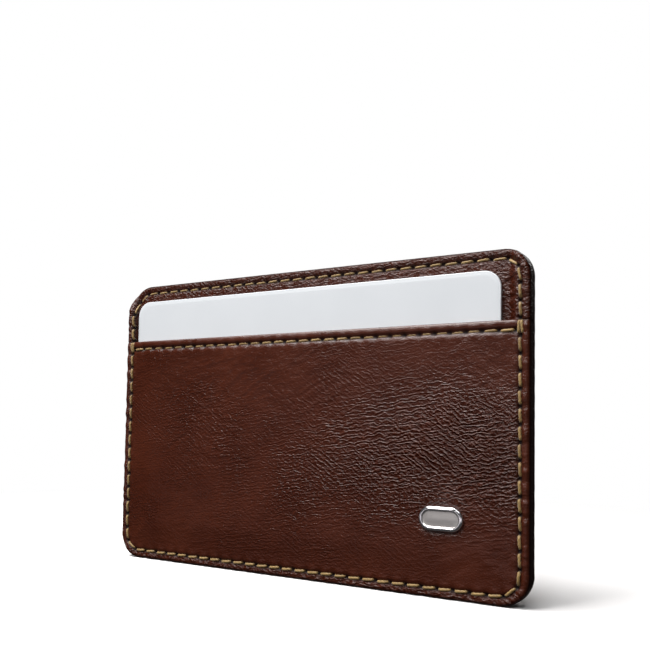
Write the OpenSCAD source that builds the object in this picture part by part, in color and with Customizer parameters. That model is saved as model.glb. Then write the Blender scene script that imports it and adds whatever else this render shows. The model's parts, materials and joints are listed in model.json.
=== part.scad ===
// Slim leather card wallet that stands on its long bottom edge.
// X is its width, Z its height, and the pocket side faces -Y.
// Every piece is laid out flat (x right, y up the wallet, z towards the front)
// and stand_up() then turns it upright.

/* [Wallet] */
// Width over the outer edges
wallet_w = 93.5; // [91:0.5:110]
// Height over the outer edges
wallet_h = 61.4; // [61:0.1:75]
// Radius of the four outer corners
corner_r = 5.2; // [4:0.1:8]
// Radius rolled onto the front and back edges
edge_r = 0.55; // [0.2:0.05:0.6]

/* [Leather and lining] */
// Thickness of the back leather
back_t = 0.8; // [0.8:0.05:1.2]
// Thickness of the stiffening board
core_t = 0.4; // [0.3:0.1:1]
// Thickness of the leather behind the card
inner_t = 0.9; // [0.9:0.05:1.2]
// Thickness of the pocket leather
pocket_t = 0.8; // [0.8:0.05:1.2]
// Thickness of the lining glued behind the pocket leather
lining_t = 0.15; // [0.1:0.05:0.2]
// Width of the leather margin turned over the board
margin_w = 2.4; // [2.2:0.1:3]

/* [Pocket] */
// Height of the pocket mouth above the bottom edge
mouth_h = 48.6; // [44:0.1:52]
// Height of the pocket floor above the bottom edge
floor_h = 3.6; // [3:0.1:5]
// Width of the spacer strips beside the slot
welt_w = 2.4; // [2.4:0.05:3]
// Height of the turned hem along the mouth
hem_h = 3.7; // [3:0.1:5]

/* [Card] */
// Width of the card, ISO/IEC 7810 ID-1
card_w = 85.6; // [85.6]
// Height of the card, ISO/IEC 7810 ID-1
card_h = 53.98; // [53.98]
// Thickness of the card, ISO/IEC 7810 ID-1
card_t = 0.76; // [0.76]
// Corner radius of the card
card_r = 3.18; // [3.18]
// Sideways place of the card in the pocket
card_x = -1.4; // [-1.5:0.1:1.5]
// Play in front of the card
play_front = 0.09; // [0.05:0.01:0.2]
// Play behind the card
play_rear = 0.1; // [0.05:0.01:0.2]

/* [Stitching] */
// Distance of the edge seam from the outer edge
seam_inset = 1.7; // [1.5:0.1:2]
// Number of stitches round the edge
edge_stitches = 96; // [90:2:104]
// Number of stitches along the mouth
mouth_stitches = 30; // [26:1:34]
// Distance of the mouth seam below the fold
mouth_seam_drop = 1.8; // [1.5:0.1:2.2]
// Width of the thread
thread_w = 0.5; // [0.4:0.05:0.6]
// Thickness of the thread where it lies on the leather
thread_t = 0.4; // [0.3:0.05:0.4]
// Diameter of the needle holes
needle_hole_d = 1.1; // [1.1:0.1:1.2]

/* [Badge] */
// Length of the metal badge
badge_l = 8.4; // [6:0.1:10]
// Width of the metal badge
badge_w = 4.4; // [3.5:0.1:5]
// Height of the badge above the leather
badge_t = 0.8; // [0.5:0.1:0.8]
// Width of the badge's bevel
badge_bevel = 0.5; // [0.2:0.1:0.8]
// Place of the badge across the wallet
badge_x = 31.2; // [20:0.1:34]
// Height of the badge above the bottom edge
badge_y = 14; // [10:0.1:20]
// Diameter of the two prongs
prong_d = 0.9; // [0.6:0.1:1]

/* [Hidden] */
$fn = 64;

slot_t = card_t + play_front + play_rear;
total_t = back_t + core_t + inner_t + slot_t + lining_t + pocket_t;

// Levels through the thickness, from the back face to the front face
z_back = -total_t / 2;
z_core = z_back + back_t;
z_inner = z_core + core_t;
z_slot = z_inner + inner_t;
z_lining = z_slot + slot_t;
z_pocket = z_lining + lining_t;
z_front = z_pocket + pocket_t;

// Seam grooves: the thread lies in them, level with the leather or below it
groove_w = thread_w + 0.75;
groove_pocket = z_front - thread_t;
groove_inner = z_slot - thread_t - 0.05;
groove_back = z_back + thread_t + 0.05;
// Level where the needle thread meets the bobbin thread
lock_z = -0.4;
lock_gap = 0.1;

// Run of the edge seam, from the middle of the bottom edge towards +x
run_r = corner_r - seam_inset;
run_x = wallet_w / 2 - corner_r;
run_y = wallet_h - 2 * corner_r;
run_corner = run_r * PI / 2;
run_length = 4 * run_x + 2 * run_y + 4 * run_corner;
edge_pitch = run_length / edge_stitches;

// The stitch that crosses each end of the mouth is doubled
tack_index = round((run_x + run_corner + mouth_h - mouth_seam_drop - corner_r) / edge_pitch - 0.5);

// The upper rims keep the pocket's level up to the top corners, where they fall
// to the inner leather so that the card can pass
slope_start = wallet_h - corner_r - 1.3;
slope_end = wallet_h - corner_r + 1.6;
rim_gap = 0.1;
strip_inset = 0.1;

mouth_seam_y = mouth_h - mouth_seam_drop;
mouth_seam_half = wallet_w / 2 - welt_w - 0.6;
mouth_pitch = 2 * mouth_seam_half / mouth_stitches;
hem_half = wallet_w / 2 - welt_w - strip_inset;

tape_w = 0.6;
tape_t = 0.2;
tape_below_fold = 0.5;
fold_r = 0.35;

prong_gap = 5;
backing_t = 0.12;
arc_steps = 6;
cut = 1;

function mix(a, b, t) = a + (b - a) * t;

// Points of an arc of radius r about (cx, cy), from angle a0 to angle a1
function arc(cx, cy, r, a0, a1) =
    [for (i = [0 : arc_steps])
        let (a = mix(a0, a1, i / arc_steps))
        [cx + r * cos(a), cy + r * sin(a)]];

// A point on a quarter turn of the seam, t from 0 to 1
function turn(cx, cy, a0, t) =
    [cx + run_r * cos(a0 + 90 * t), cy + run_r * sin(a0 + 90 * t)];

// The right half of the seam at distance s from the bottom middle
function right_seam(s) =
    s < run_x ? [s, seam_inset]
    : s < run_x + run_corner
        ? turn(run_x, corner_r, -90, (s - run_x) / run_corner)
    : s < run_x + run_corner + run_y
        ? [wallet_w / 2 - seam_inset, corner_r + s - run_x - run_corner]
    : s < run_x + 2 * run_corner + run_y
        ? turn(run_x, wallet_h - corner_r, 0, (s - run_x - run_corner - run_y) / run_corner)
    : [2 * run_x + 2 * run_corner + run_y - s, wallet_h - seam_inset];

// The whole seam: its left half mirrors its right half
function seam(s) =
    s <= run_length / 2 ? right_seam(s)
    : let (p = right_seam(run_length - s)) [-p[0], p[1]];

// Level on which the front thread lies
function seam_level(p) =
    p[1] <= slope_start ? groove_pocket
    : p[1] >= slope_end ? groove_inner
    : mix(groove_pocket, groove_inner, (p[1] - slope_start) / (slope_end - slope_start));

module stand_up() {
    rotate([90, 0, 0]) children();
}

// Section of a panel's edge: x outwards from the corner centre, y through the thickness
module edge_section(reach, z0, z1, r0, r1) {
    polygon(concat(
        [[0, z0]],
        r0 > 0 ? arc(reach - r0, z0 + r0, r0, -90, 0) : [[reach, z0]],
        r1 > 0 ? arc(reach - r1, z1 - r1, r1, 0, 90) : [[reach, z1]],
        [[0, z1]]
    ));
}

module corner_edge(reach, z0, z1, r0, r1) {
    rotate_extrude(angle = 90)
        edge_section(reach, z0, z1, r0, r1);
}

// A panel with rolled edges; its top edge is rounded in plan only where it is full height
module rolled_panel(z0, z1, r0, r1, top = wallet_h) {
    full = top == wallet_h;
    y_top = full ? wallet_h - corner_r : top;
    side = y_top - corner_r;
    translate([-run_x, corner_r, z0])
        cube([2 * run_x, side, z1 - z0]);
    translate([-run_x, corner_r, 0])
        mirror([0, 1, 0])
            along_y(2 * run_x, corner_r, z0, z1, r0, r1);
    for (flip = [0, 1]) mirror([flip, 0, 0]) {
        translate([run_x, corner_r, 0])
            along_x(side, corner_r, z0, z1, r0, r1);
        translate([run_x, corner_r, 0])
            rotate([0, 0, -90])
                corner_edge(corner_r, z0, z1, r0, r1);
        if (full)
            translate([run_x, y_top, 0])
                corner_edge(corner_r, z0, z1, r0, r1);
    }
    if (full)
        translate([-run_x, y_top, 0])
            along_y(2 * run_x, corner_r, z0, z1, r0, r1);
}

// Edge strip that faces +x and runs along +y
module along_x(length, reach, z0, z1, r0, r1) {
    translate([0, length, 0])
        rotate([90, 0, 0])
            linear_extrude(length)
                edge_section(reach, z0, z1, r0, r1);
}

// Edge strip that faces +y and runs along +x
module along_y(length, reach, z0, z1, r0, r1) {
    mirror([1, -1, 0])
        along_x(length, reach, z0, z1, r0, r1);
}

module outline(inset) {
    r = corner_r - inset;
    translate([-run_x, inset])
        square([2 * run_x, wallet_h - 2 * inset]);
    translate([inset - wallet_w / 2, corner_r])
        square([wallet_w - 2 * inset, run_y]);
    for (x = [-run_x, run_x])
        for (y = [corner_r, wallet_h - corner_r])
            translate([x, y]) circle(r);
}

module slab(z0, z1) {
    translate([0, 0, z0])
        linear_extrude(z1 - z0) children();
}

// Channel that the edge seam lies in, between the heights y0 and y1
module seam_groove(z0, z1, y0, y1) {
    intersection() {
        difference() {
            slab(z0, z1) outline(seam_inset - groove_w / 2);
            slab(z0 - cut, z1 + cut) outline(seam_inset + groove_w / 2);
        }
        translate([-wallet_w, y0, z0 - cut])
            cube([2 * wallet_w, y1 - y0, z1 - z0 + 2 * cut]);
    }
}

// Needle holes of the edge seam between the heights y0 and y1
module edge_holes(z0, z1, y0, y1) {
    for (i = [0 : edge_stitches - 1]) {
        p = seam(i * edge_pitch);
        if (p[1] > y0 && p[1] < y1)
            translate([p[0], p[1], z0 - cut])
                cylinder(h = z1 - z0 + 2 * cut, d = needle_hole_d);
    }
}

module mouth_holes() {
    for (i = [0 : mouth_stitches])
        translate([i * mouth_pitch - mouth_seam_half, mouth_seam_y, z_slot])
            cylinder(h = total_t, d = needle_hole_d);
}

// One stitch from p to q: a bar on the leather with a leg down each needle hole.
// It lies on the levels za and zb; up is 1 on the front and -1 on the back.
module stitch(p, q, za, zb, z_leg, up = 1, aside = 0) {
    d = q - p;
    length = norm(d);
    leg = 0.36;
    lead = 0.3 - leg / 2;
    ease = 0.15;
    top_a = za + up * thread_t;
    top_b = zb + up * thread_t;
    translate([p[0], p[1], 0])
        rotate([0, 0, atan2(d[1], d[0])])
            translate([0, aside + thread_w / 2, 0])
                rotate([90, 0, 0])
                    linear_extrude(thread_w)
                        polygon([
                            [lead, z_leg],
                            [lead, top_a - up * ease],
                            [lead + ease, top_a],
                            [length - lead - ease, top_b],
                            [length - lead, top_b - up * ease],
                            [length - lead, z_leg],
                            [length - lead - leg, z_leg],
                            [length - lead - leg, zb],
                            [lead + leg, za],
                            [lead + leg, z_leg]
                        ]);
}

module edge_stitch(i, aside = 0) {
    p = seam(i * edge_pitch);
    q = seam((i + 1) * edge_pitch);
    stitch(p, q, seam_level(p), seam_level(q), lock_z + lock_gap / 2, 1, aside);
}

module bar_tack(i) {
    for (aside = [-0.26, 0.26])
        edge_stitch(i, aside);
}

module pill(length, width) {
    translate([-(length - width) / 2, -width / 2])
        square([length - width, width]);
    for (x = [-1, 1])
        translate([x * (length - width) / 2, 0]) circle(width / 2);
}

module prongs(d, z0, z1) {
    for (x = [-prong_gap / 2, prong_gap / 2])
        translate([badge_x + x, badge_y, z0])
            cylinder(h = z1 - z0, d = d);
}

// Fills the slot's thickness along one side of the pocket
module welt(x0, x1, y0, y1) {
    difference() {
        intersection() {
            slab(z_slot, z_pocket) outline(strip_inset);
            translate([x0, y0, z_slot - cut])
                cube([x1 - x0, y1 - y0, slot_t + lining_t + 2 * cut]);
        }
        edge_holes(z_slot, z_pocket, 0, wallet_h);
    }
}

// Rim beside the card, above the mouth; the front thread lies on it
module upper_rim() {
    y0 = mouth_h + rim_gap;
    y1 = mix(slope_start, slope_end, (groove_pocket - z_slot) / (groove_pocket - groove_inner));
    difference() {
        intersection() {
            slab(z_slot, groove_pocket) outline(strip_inset);
            translate([wallet_w / 2 - welt_w, 0, 0])
                rotate([90, 0, 90])
                    linear_extrude(welt_w + cut)
                        polygon([[y0, z_slot - cut], [y1 + cut, z_slot - cut], [y1, z_slot],
                                 [slope_start, groove_pocket], [slope_start, groove_pocket + cut],
                                 [y0, groove_pocket + cut]]);
        }
        edge_holes(z_slot, z_front, mouth_h, wallet_h);
    }
}

module back_panel() {
    color("#3c1d15") stand_up() difference() {
        rolled_panel(z_back, z_inner, edge_r, 0);
        slab(z_core, z_inner + cut) outline(margin_w);
        seam_groove(z_back - cut, groove_back, 0, wallet_h);
        edge_holes(z_back, z_inner, 0, wallet_h);
    }
}

module core_board() {
    color("#b9a98c") stand_up()
        slab(z_core, z_inner) outline(margin_w + strip_inset);
}

module inner_panel() {
    color("#4a251b") stand_up() difference() {
        rolled_panel(z_inner, z_slot, 0, edge_r);
        seam_groove(groove_inner, z_slot + cut, slope_end - 2, wallet_h);
        edge_holes(z_inner, z_slot, 0, wallet_h);
    }
}

module upper_rim_left() {
    color("#43211a") stand_up() mirror([1, 0, 0]) upper_rim();
}

module upper_rim_right() {
    color("#43211a") stand_up() upper_rim();
}

module left_welt() {
    color("#33170f") stand_up()
        welt(-wallet_w / 2, welt_w - wallet_w / 2, floor_h, mouth_h);
}

module right_welt() {
    color("#33170f") stand_up()
        welt(wallet_w / 2 - welt_w, wallet_w / 2, floor_h, mouth_h);
}

module bottom_welt() {
    color("#33170f") stand_up() difference() {
        intersection() {
            slab(z_slot, z_pocket) outline(0);
            translate([-wallet_w, -cut, z_slot - cut])
                cube([2 * wallet_w, floor_h + cut, total_t]);
        }
        edge_holes(z_slot, z_pocket, 0, wallet_h);
    }
}

module pocket_lining() {
    color("#6b5f55") stand_up() difference() {
        translate([-hem_half, floor_h + strip_inset, z_lining])
            cube([2 * hem_half, mouth_h - hem_h - floor_h - 2 * strip_inset, lining_t]);
        translate([badge_x, badge_y, 0])
            slab(z_slot, z_front) pill(badge_l, badge_w);
    }
}

module pocket_panel() {
    color("#3f1e15") stand_up() difference() {
        union() {
            rolled_panel(z_pocket, z_front, 0, edge_r, mouth_h - fold_r);
            translate([-wallet_w / 2, mouth_h - fold_r, 0])
                mirror([1, -1, 0])
                    translate([0, wallet_w, 0])
                        rotate([90, 0, 0])
                            linear_extrude(wallet_w)
                                edge_section(fold_r, z_pocket, z_front, fold_r, fold_r);
            translate([-hem_half, mouth_h - hem_h, z_lining])
                cube([2 * hem_half, hem_h - 2 * fold_r, lining_t]);
        }
        seam_groove(groove_pocket, z_front + cut, 0, mouth_h + cut);
        edge_holes(z_pocket, z_front, 0, mouth_h + cut);
        mouth_groove(groove_pocket, z_front + cut);
        mouth_groove(z_lining - cut, z_lining + thread_t);
        mouth_holes();
        tape_solid();
        prongs(prong_d, z_lining - cut, z_front + cut);
    }
}

module mouth_groove(z0, z1) {
    translate([-mouth_seam_half - groove_w / 2, mouth_seam_y - groove_w / 2, z0])
        cube([2 * mouth_seam_half + groove_w, groove_w, z1 - z0]);
}

module tape_solid() {
    translate([-hem_half, mouth_h - tape_below_fold - tape_w, z_pocket + 0.2])
        cube([2 * hem_half, tape_w, tape_t]);
}

module mouth_tape() {
    color("#d8d2c4") stand_up() tape_solid();
}

module edge_thread_front() {
    color("#a98f4e") stand_up()
        for (i = [0 : edge_stitches - 1])
            if (i != tack_index && i != edge_stitches - 1 - tack_index)
                edge_stitch(i);
}

module edge_thread_back() {
    color("#a98f4e") stand_up()
        for (i = [0 : edge_stitches - 1])
            stitch(seam(i * edge_pitch), seam((i + 1) * edge_pitch),
                   groove_back, groove_back, lock_z - lock_gap / 2, -1);
}

module mouth_thread_front() {
    color("#a98f4e") stand_up()
        for (i = [0 : mouth_stitches - 1])
            stitch([i * mouth_pitch - mouth_seam_half, mouth_seam_y],
                   [(i + 1) * mouth_pitch - mouth_seam_half, mouth_seam_y],
                   groove_pocket, groove_pocket, z_lining + thread_t + lock_gap);
}

module mouth_thread_back() {
    color("#a98f4e") stand_up()
        for (i = [0 : mouth_stitches - 1])
            stitch([i * mouth_pitch - mouth_seam_half, mouth_seam_y],
                   [(i + 1) * mouth_pitch - mouth_seam_half, mouth_seam_y],
                   z_lining + thread_t, z_lining + thread_t, z_lining + thread_t + 0.05, -1);
}

module bar_tack_left() {
    color("#b59a56") stand_up() bar_tack(edge_stitches - 1 - tack_index);
}

module bar_tack_right() {
    color("#b59a56") stand_up() bar_tack(tack_index);
}

// Half section of the badge: flat top, bevelled rim
module badge_section() {
    polygon([
        [0, z_front],
        [badge_w / 2, z_front],
        [badge_w / 2, z_front + badge_t - badge_bevel],
        [badge_w / 2 - badge_bevel, z_front + badge_t],
        [0, z_front + badge_t]
    ]);
}

module badge() {
    straight = badge_l - badge_w;
    color("#b9bcc2") stand_up() {
        translate([badge_x, badge_y, 0]) {
            for (side = [0, 180]) rotate([0, 0, side]) {
                translate([straight / 2, 0, 0])
                    rotate([0, 0, -90])
                        rotate_extrude(angle = 180) badge_section();
                translate([straight / 2, 0, 0])
                    rotate([90, 0, -90])
                        linear_extrude(straight) badge_section();
            }
        }
        prongs(prong_d, z_lining + 0.02, z_front);
    }
}

module badge_backing() {
    color("#8f9296") stand_up() difference() {
        translate([badge_x, badge_y, 0])
            slab(z_pocket - backing_t, z_pocket) pill(badge_l - 0.6, badge_w - 0.6);
        prongs(prong_d, z_slot, z_front);
    }
}

module card() {
    x0 = card_x - card_w / 2;
    y0 = floor_h + 0.05;
    color("#dfe3e7") stand_up() slab(z_slot + play_rear, z_slot + play_rear + card_t) {
        translate([x0 + card_r, y0])
            square([card_w - 2 * card_r, card_h]);
        translate([x0, y0 + card_r])
            square([card_w, card_h - 2 * card_r]);
        for (x = [x0 + card_r, x0 + card_w - card_r])
            for (y = [y0 + card_r, y0 + card_h - card_r])
                translate([x, y]) circle(card_r);
    }
}

back_panel();
core_board();
inner_panel();
upper_rim_left();
upper_rim_right();
left_welt();
right_welt();
bottom_welt();
pocket_lining();
pocket_panel();
mouth_tape();
edge_thread_front();
edge_thread_back();
mouth_thread_front();
mouth_thread_back();
bar_tack_left();
bar_tack_right();
badge();
badge_backing();
card();
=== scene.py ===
import json
import math

import bpy
import numpy as np
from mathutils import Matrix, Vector

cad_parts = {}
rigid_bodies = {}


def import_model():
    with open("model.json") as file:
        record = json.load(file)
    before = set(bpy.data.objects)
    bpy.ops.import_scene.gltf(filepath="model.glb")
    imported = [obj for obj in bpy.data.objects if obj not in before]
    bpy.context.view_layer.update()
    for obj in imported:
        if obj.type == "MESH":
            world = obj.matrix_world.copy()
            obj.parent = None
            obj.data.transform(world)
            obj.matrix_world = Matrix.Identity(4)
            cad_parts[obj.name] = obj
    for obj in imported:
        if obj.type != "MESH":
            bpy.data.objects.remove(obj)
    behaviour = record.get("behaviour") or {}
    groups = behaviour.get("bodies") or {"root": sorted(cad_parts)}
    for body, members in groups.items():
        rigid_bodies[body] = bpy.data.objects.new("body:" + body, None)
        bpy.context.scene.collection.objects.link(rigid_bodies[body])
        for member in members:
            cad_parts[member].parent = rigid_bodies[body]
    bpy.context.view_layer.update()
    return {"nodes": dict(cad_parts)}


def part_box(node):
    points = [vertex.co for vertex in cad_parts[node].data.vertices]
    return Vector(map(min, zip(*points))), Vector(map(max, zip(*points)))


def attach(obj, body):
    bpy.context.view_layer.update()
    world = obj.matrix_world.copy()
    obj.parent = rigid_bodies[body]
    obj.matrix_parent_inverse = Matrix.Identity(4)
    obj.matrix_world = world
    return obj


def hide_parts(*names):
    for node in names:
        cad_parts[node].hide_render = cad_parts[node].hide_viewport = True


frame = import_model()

# The leather pieces are worked out in millimetres: x across the wallet, z up it,
# and h forwards from the middle of its thickness, which is -y.
MM = 0.001
PER_MM = (1000, 1000, 1000)


def cad(node):
    low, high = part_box(node)
    return np.array(low) / MM, np.array(high) / MM


back_low, back_high = cad("back_panel")
pocket_low, pocket_high = cad("pocket_panel")
inner_low, inner_high = cad("inner_panel")
card_low, card_high = cad("card")
badge_low, badge_high = cad("badge")

WIDTH = back_high[0] - back_low[0]
HEIGHT = back_high[2]
CORNER = 5.2
RUN_X = WIDTH / 2 - CORNER
MOUTH = pocket_high[2]
FRONT = -pocket_low[1]
BACK = back_high[1]
SLOT_FLOOR = -inner_low[1]
INNER_BACK = -inner_high[1]
SLOT_ROOF = -cad("pocket_lining")[1][1]
POCKET_FACE = FRONT - 0.12
INNER_FACE = SLOT_FLOOR - 0.02
BACK_FACE = BACK - 0.06

SEAM_INSET = 1.7
EDGE_STITCHES = 96
MOUTH_STITCHES = 30
MOUTH_SEAM = MOUTH - 1.8
MOUTH_HALF = 44.3
THREAD_R = 0.27
STITCH_ROWS = 27
STITCH_SIDES = 12
TWIST_PITCH = 1.5
GROOVE = 0.32
ROLL = 0.7
FOLD_R = 0.42
WELT_WIDTH = 2.4
CARD_CORNER = 3.18
SLOPE_START = HEIGHT - CORNER - 1.3
SLOPE_END = HEIGHT - CORNER + 1.6

RUN_Z = HEIGHT - 2 * CORNER
SEAM_R = CORNER - SEAM_INSET
SEAM_ARC = SEAM_R * math.pi / 2
SEAM_LENGTH = 4 * RUN_X + 2 * RUN_Z + 4 * SEAM_ARC
EDGE_PITCH = SEAM_LENGTH / EDGE_STITCHES
MOUTH_PITCH = 2 * MOUTH_HALF / MOUTH_STITCHES
TACK = round((RUN_X + SEAM_ARC + MOUTH_SEAM - CORNER) / EDGE_PITCH - 0.5)

# At scale 1 the wave texture's bands repeat every 0.3142 units, which is 2 pi / 20.
WAVE_CYCLE = 0.3142
FLOOR_FADE = (0.10, 0.22)


# ---------------------------------------------------------------- small maths

def smooth(a, b, v):
    t = np.clip((v - a) / (b - a), 0, 1)
    return t * t * (3 - 2 * t)


def hill(v, width):
    return np.exp(-(v / width) ** 2)


def lattice(ix, iy, seed):
    n = ix.astype(np.int64) * 374761393 + iy.astype(np.int64) * 668265263 + seed * 974634777
    n = (n ^ (n >> 13)) * 1274126177 & 0xFFFFFFFF
    return ((n ^ (n >> 16)) & 0xFFFF) / 32767.5 - 1


def value_noise(x, y, seed):
    ix, iy = np.floor(x), np.floor(y)
    fx, fy = x - ix, y - iy
    fx, fy = fx * fx * (3 - 2 * fx), fy * fy * (3 - 2 * fy)
    low = lattice(ix, iy, seed) * (1 - fx) + lattice(ix + 1, iy, seed) * fx
    high = lattice(ix, iy + 1, seed) * (1 - fx) + lattice(ix + 1, iy + 1, seed) * fx
    return low * (1 - fy) + high * fy


def fbm(x, y, seed, octaves=3):
    total, gain = 0, 1
    for i in range(octaves):
        total = total + gain * value_noise(x * 2 ** i, y * 2 ** i, seed + i)
        gain *= 0.5
    return total


# ------------------------------------------------------------------- the seam

def inset_of(x, z):
    """Distance inwards from the wallet's outline."""
    qx = np.abs(x) - RUN_X
    qz = np.abs(z - HEIGHT / 2) - (HEIGHT / 2 - CORNER)
    outside = np.hypot(np.maximum(qx, 0), np.maximum(qz, 0))
    return CORNER - outside - np.minimum(np.maximum(qx, qz), 0)


def seam_phase(x, z):
    """Place along the edge seam in stitches, from the bottom middle; the left mirrors the right."""
    ax = np.abs(x)
    qx, low, high = ax - RUN_X, CORNER - z, z - (HEIGHT - CORNER)
    corner_low = RUN_X + SEAM_R * np.arctan2(np.maximum(qx, 0), np.maximum(low, 1e-9))
    turn_high = np.arctan2(np.maximum(high, 0), np.maximum(qx, 1e-9))
    corner_high = RUN_X + SEAM_ARC + RUN_Z + SEAM_R * turn_high
    along_side = RUN_X + SEAM_ARC + z - CORNER
    along_top = 2 * RUN_X + 2 * SEAM_ARC + RUN_Z - ax
    side = np.where(low > 0, corner_low, np.where(high > 0, corner_high, along_side))
    middle = np.where(z < HEIGHT / 2, ax, along_top)
    inside = (qx <= 0) & ((np.minimum(z, HEIGHT - z) < CORNER) | (qx < -CORNER))
    return np.where(inside, middle, side) / EDGE_PITCH


def right_seam(s):
    """The seam's x and z on the right half, s millimetres from the bottom middle."""
    if s < RUN_X:
        return s, SEAM_INSET
    s -= RUN_X
    if s < SEAM_ARC:
        a = s / SEAM_R
        return RUN_X + SEAM_R * math.sin(a), CORNER - SEAM_R * math.cos(a)
    s -= SEAM_ARC
    if s < RUN_Z:
        return WIDTH / 2 - SEAM_INSET, CORNER + s
    s -= RUN_Z
    if s < SEAM_ARC:
        a = s / SEAM_R
        return RUN_X + SEAM_R * math.cos(a), HEIGHT - CORNER + SEAM_R * math.sin(a)
    return RUN_X - (s - SEAM_ARC), HEIGHT - SEAM_INSET


def seam_point(i):
    """The needle hole at the start of stitch i, counted from the bottom middle."""
    s = (i % EDGE_STITCHES) * EDGE_PITCH
    if s <= SEAM_LENGTH / 2:
        return right_seam(s)
    x, z = right_seam(SEAM_LENGTH - s)
    return -x, z


def stitch_relief(across, phase, side_pull=0.07):
    """Groove, needle pits and the puckers that thread pulls into leather."""
    whole = np.abs(phase - np.round(phase))
    groove = -GROOVE * hill(across, 0.46)
    pit = -0.42 * hill(across, 0.3) * hill(whole, 0.11)
    beside = hill(across - 0.7, 0.5) + hill(across + 0.7, 0.5)
    pucker = side_pull * np.cos(2 * math.pi * phase) * beside
    return groove + pit - pucker


def wrinkles(x, z, seed, amount):
    """Fine creases, drawn out sideways, as grain leather has where it has been bent."""
    wander = 1.6 * fbm(x / 14, z / 9, seed + 7, 2)
    crease = 1 - np.abs(fbm(x / 3.6 + wander, z / 1.15 + 2 * wander, seed, 3))
    where = 0.35 + 0.65 * smooth(-0.4, 0.7, fbm(x / 22, z / 13, seed + 11, 2))
    return amount * where * (np.clip(crease, 0, 1) ** 2 - 0.5)


# --------------------------------------------------------- leather surfaces

def rim_pucker(x, z, seed):
    phase = seam_phase(x, z) * EDGE_PITCH
    return 0.12 * fbm(phase / 0.85 + 40 * (x < 0), inset_of(x, z) / 0.9, seed, 2)


def pocket_height(x, z):
    inset = inset_of(x, z)
    phase = seam_phase(x, z)
    h = POCKET_FACE + 0.34 * smooth(2.0, 9, inset) * smooth(0, 5, MOUTH + 2.5 - z)
    h = h + 0.10 * fbm(x / 24, z / 17, 3, 2) * smooth(3, 10, inset)
    seam = smooth(4.4, 3.2, inset)
    h = h + stitch_relief(inset - SEAM_INSET, phase) * seam
    h = h + (rim_pucker(x, z, 21) + 0.08) * smooth(2.2, 1.2, inset)
    within = smooth(MOUTH_HALF + 0.9, MOUTH_HALF + 0.3, np.abs(x))
    mouth_phase = (x + MOUTH_HALF) / MOUTH_PITCH
    h = h + stitch_relief(z - MOUTH_SEAM, mouth_phase, 0.05) * within
    h = h + 0.09 * hill(z - (MOUTH - 0.95), 0.65) * within
    calm = smooth(2.1, 4.5, inset) * smooth(0.5, 3.5, np.abs(z - MOUTH_SEAM))
    h = h + wrinkles(x, z, 5, 0.10) * (0.25 + 0.75 * calm) * smooth(2.0, 2.6, inset)
    return h - 0.22 * badge_ring(x, z)


def wrinkle_mask(x, z):
    """How strongly the leather is wrinkled, from 0 to 1: most towards the right, less at the edge."""
    right = hill(x - 33, 28) * hill(z - 25, 12)
    left = 0.2 * hill(x + 18 + 0.4 * (z - 28), 7) * hill(z - 28, 12)
    patches = 0.16 * smooth(-0.1, 0.7, fbm(x / 15, z / 11, 91, 2))
    badge_calm = 1 - 0.75 * hill(x - 36, 12) * hill(z - 5, 9)
    spread = np.clip((0.13 + 0.84 * right + left + patches) * badge_calm, 0, 1) * smooth(0, 6, z)
    spread = spread * (0.55 + 0.45 * smooth(MOUTH - 4, MOUTH - 18, z))
    spread = spread * (0.3 + 0.7 * smooth(MOUTH - 1.8, MOUTH - 3.4, z))
    bead = smooth(2.5, 1.5, inset_of(x, z)) * (0.16 + 0.5 * smooth(3.5, 1.2, z))
    return np.maximum(spread * smooth(1.0, 2.4, inset_of(x, z)), bead)


def badge_ring(x, z):
    """1 under the badge and falling to 0 just outside it, for the dent that it presses."""
    centre = (badge_low + badge_high) / 2
    r = (badge_high[2] - badge_low[2]) / 2
    half = (badge_high[0] - badge_low[0]) / 2 - r
    d = np.hypot(np.maximum(np.abs(x - centre[0]) - half, 0), z - centre[2]) - r
    return smooth(0.9, -0.1, d)


def rim_level(x, z):
    """Crest of the rim round the card: level with the pocket at the sides. Over the card it lies low
    enough for the card to pass, and the outer bead stays high a little further round the corners."""
    left_fall = smooth(HEIGHT - 0.9, SLOPE_START + 0.5, z)
    clear = np.where(x > 0, smooth(card_high[0] + 0.9, card_high[0] + 2.6, x),
                     smooth(-card_low[0] + 0.35, -card_low[0] + 1.3, -x) * left_fall)
    seam_side = np.where(x > 0, 1, smooth(SLOPE_END - 0.1, SLOPE_START + 0.4, z))
    high = np.maximum(clear, seam_side * smooth(-card_low[0] + 0.1, -card_low[0] + 0.5, np.abs(x)))
    return INNER_FACE + (FRONT - 0.14 - INNER_FACE) * high


def inner_height(x, z):
    inset = inset_of(x, z)
    phase = seam_phase(x, z)
    shown = smooth(MOUTH - 0.5, MOUTH, z)
    side = WIDTH / 2 - np.abs(x)
    left_reach = 0.45 * smooth(2.5, 2.42, side) + 0.55 * smooth(2.3, 1.5, side)
    reach = np.where(x > 0, smooth(5.2, 1.6, side), left_reach)
    h = INNER_FACE + (rim_level(x, z) - INNER_FACE) * reach * shown
    relief = stitch_relief(inset - SEAM_INSET, phase) * smooth(4.0, 3.0, inset)
    h = h + relief * shown * np.where(x < 0, 0.8, 1)
    pucker = (rim_pucker(x, z, 33) + 0.06) * smooth(2.2, 1.2, inset)
    h = h + pucker * shown * smooth(SLOT_FLOOR + 0.1, 1.2, h)
    right = smooth(2.0, 2.8, side) * smooth(5.4, 4.2, side) * (x > 0)
    h = h + shown * right * 0.15 * fbm(x / 2.4 + 0.35 * z, z / 0.75 - 0.4 * x, 45, 2)
    hollows = 0.05 * shown * (0.5 + 0.5 * fbm(x / 3, z / 1.1, 47, 2))
    return h - hollows * smooth(2.4, 3, inset)


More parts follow.
